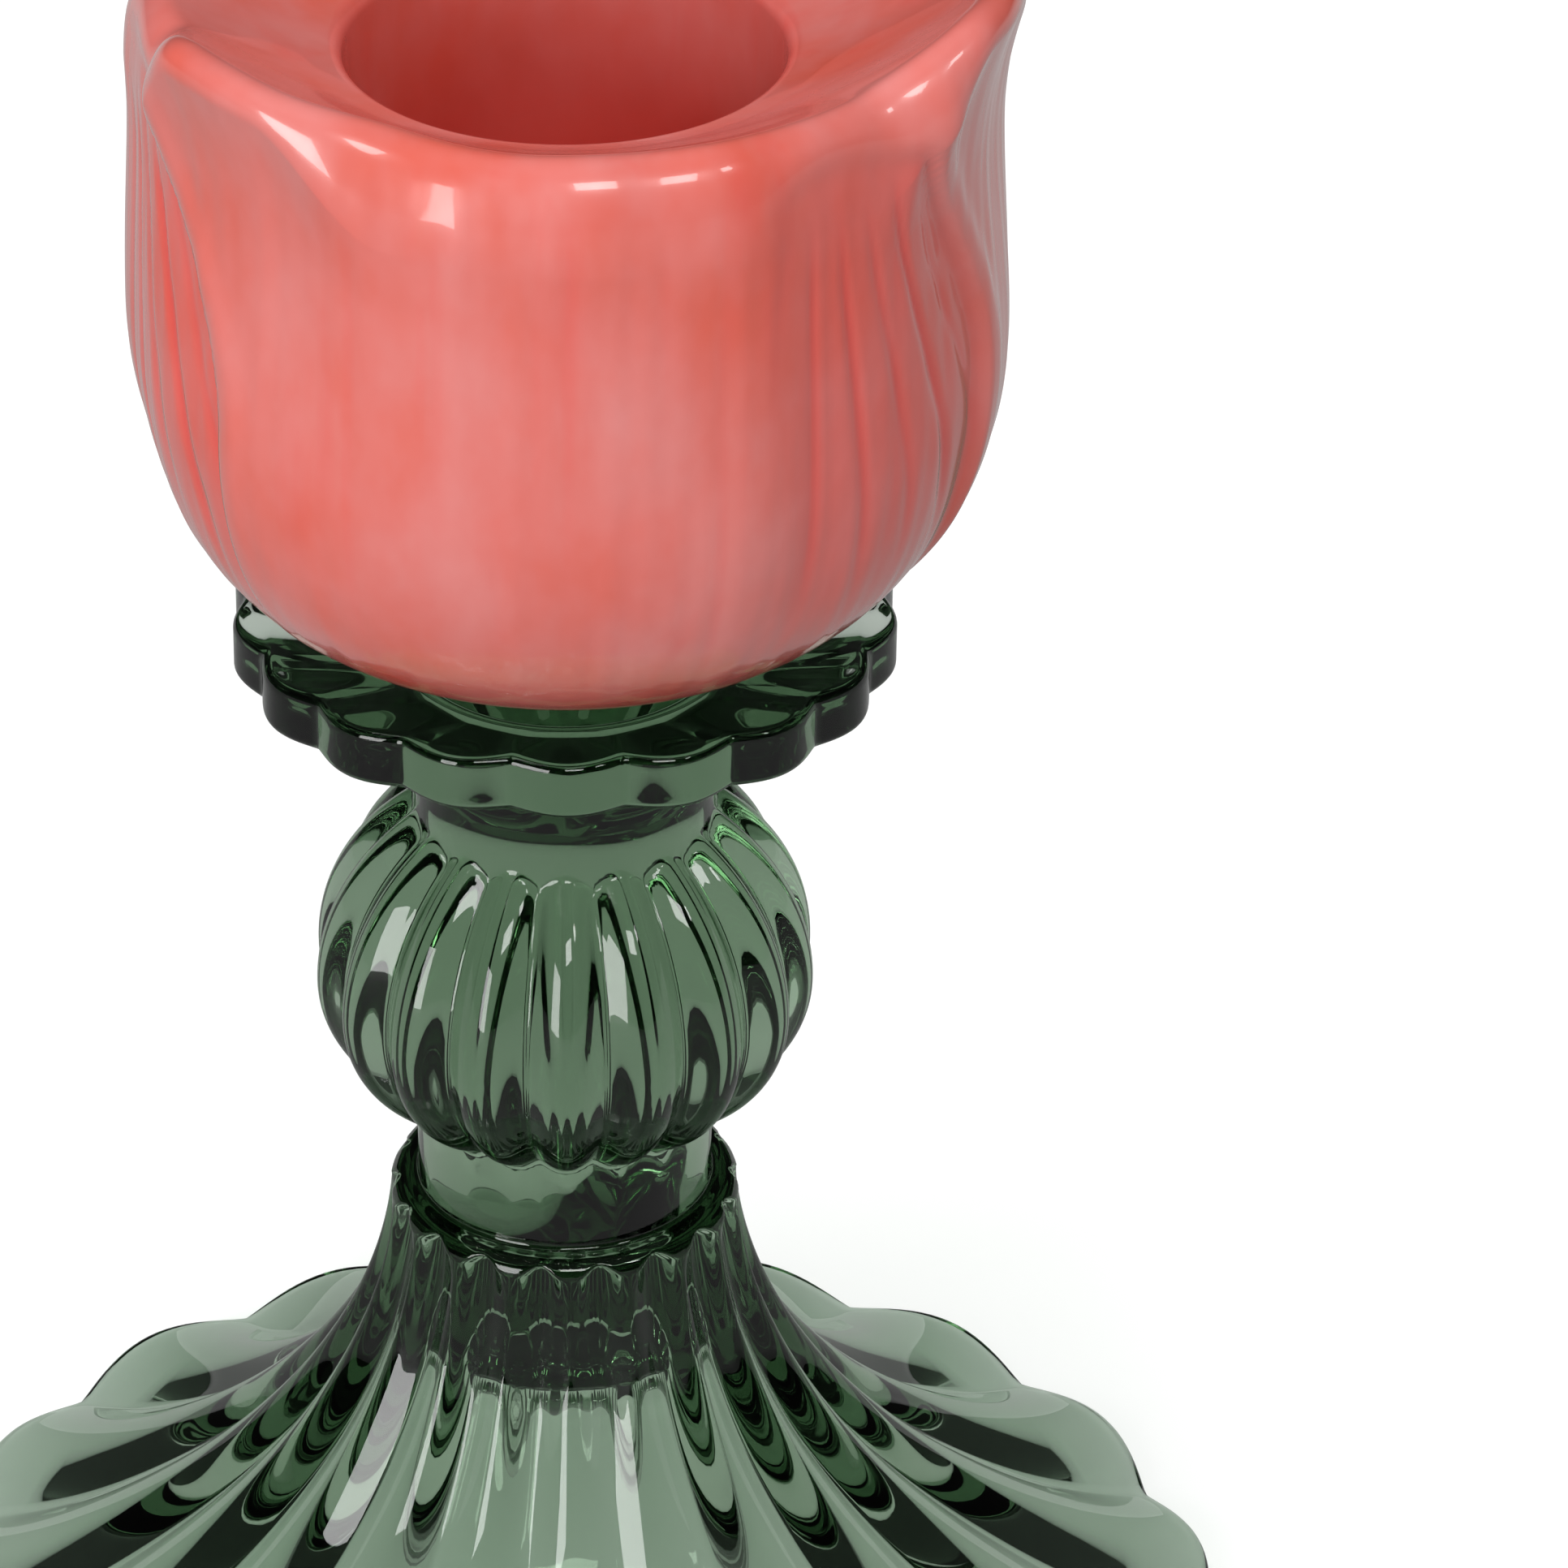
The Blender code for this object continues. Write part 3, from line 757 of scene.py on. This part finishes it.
def add_lights():
    add_softbox("overhead", (-0.15, 0.05, 1.1), (1.1, 0.9), 7.5, glossy=False)
    add_softbox("front_fill", (-0.35, -1.0, 0.40), (0.6, 0.6), 3.5, glossy=False)
    add_softbox("window_left", (-0.57, -0.71, 0.25), (0.40, 0.50), 5.0)
    add_softbox("front_high", (0.16, -0.74, 0.74), (0.42, 0.2), 2.5)
    add_softbox("right_high", (0.60, -0.50, 0.76), (0.12, 0.12), 0.5)
    add_softbox("right", (0.85, -0.1, 0.45), (0.2, 0.3), 1.5, glossy=False)
    add_softbox("back_fill", (0.35, 0.95, 0.50), (0.6, 0.6), 2.0, glossy=False)


def add_world():
    """A faint sky, a little stronger where it shades matt surfaces."""
    world = bpy.data.worlds.new("studio")
    world.use_nodes = True
    tree = world.node_tree
    background = tree.nodes["Background"]
    set_inputs(background, Color=WORLD_COLOR)
    strength = tree.nodes.new("ShaderNodeMath")
    strength.operation = "MULTIPLY_ADD"
    strength.inputs[1].default_value = WORLD_DIFFUSE_STRENGTH
    strength.inputs[2].default_value = WORLD_STRENGTH
    tree.links.new(light_path(tree, "Is Diffuse Ray"), strength.inputs[0])
    tree.links.new(strength.outputs["Value"], background.inputs["Strength"])
    bpy.context.scene.world = world


def add_camera():
    camera = bpy.data.cameras.new("camera")
    camera.lens = CAMERA_LENS
    camera.sensor_width = CAMERA_SENSOR
    camera.shift_x = CAMERA_SHIFT
    camera.clip_end = 20.0
    viewpoint = bpy.data.objects.new("camera", camera)
    bpy.context.scene.collection.objects.link(viewpoint)
    viewpoint.location = (0.0, -CAMERA_DISTANCE, CAMERA_HEIGHT)
    viewpoint.rotation_euler = (math.pi / 2 - CAMERA_PITCH, 0.0, 0.0)
    bpy.context.scene.camera = viewpoint


def set_render_limits():
    scene = bpy.context.scene
    scene.view_settings.view_transform = "Standard"
    scene.cycles.max_bounces = 20
    scene.cycles.transmission_bounces = 20
    scene.cycles.transparent_max_bounces = 16


# ---------------------------------------------------------------- assembly

def dress(piece, material, node):
    piece.data.materials.append(material)
    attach(piece, "root")
    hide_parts(node)


def main():
    dress(make_glass_base(), green_glass(), "glass_base")
    dress(make_adhesive(), clear_adhesive(), "adhesive_pad")
    dress(make_tulip_cup(), coral_glaze(), "tulip_cup")
    add_floor()
    add_lights()
    add_world()
    add_camera()
    set_render_limits()


main()
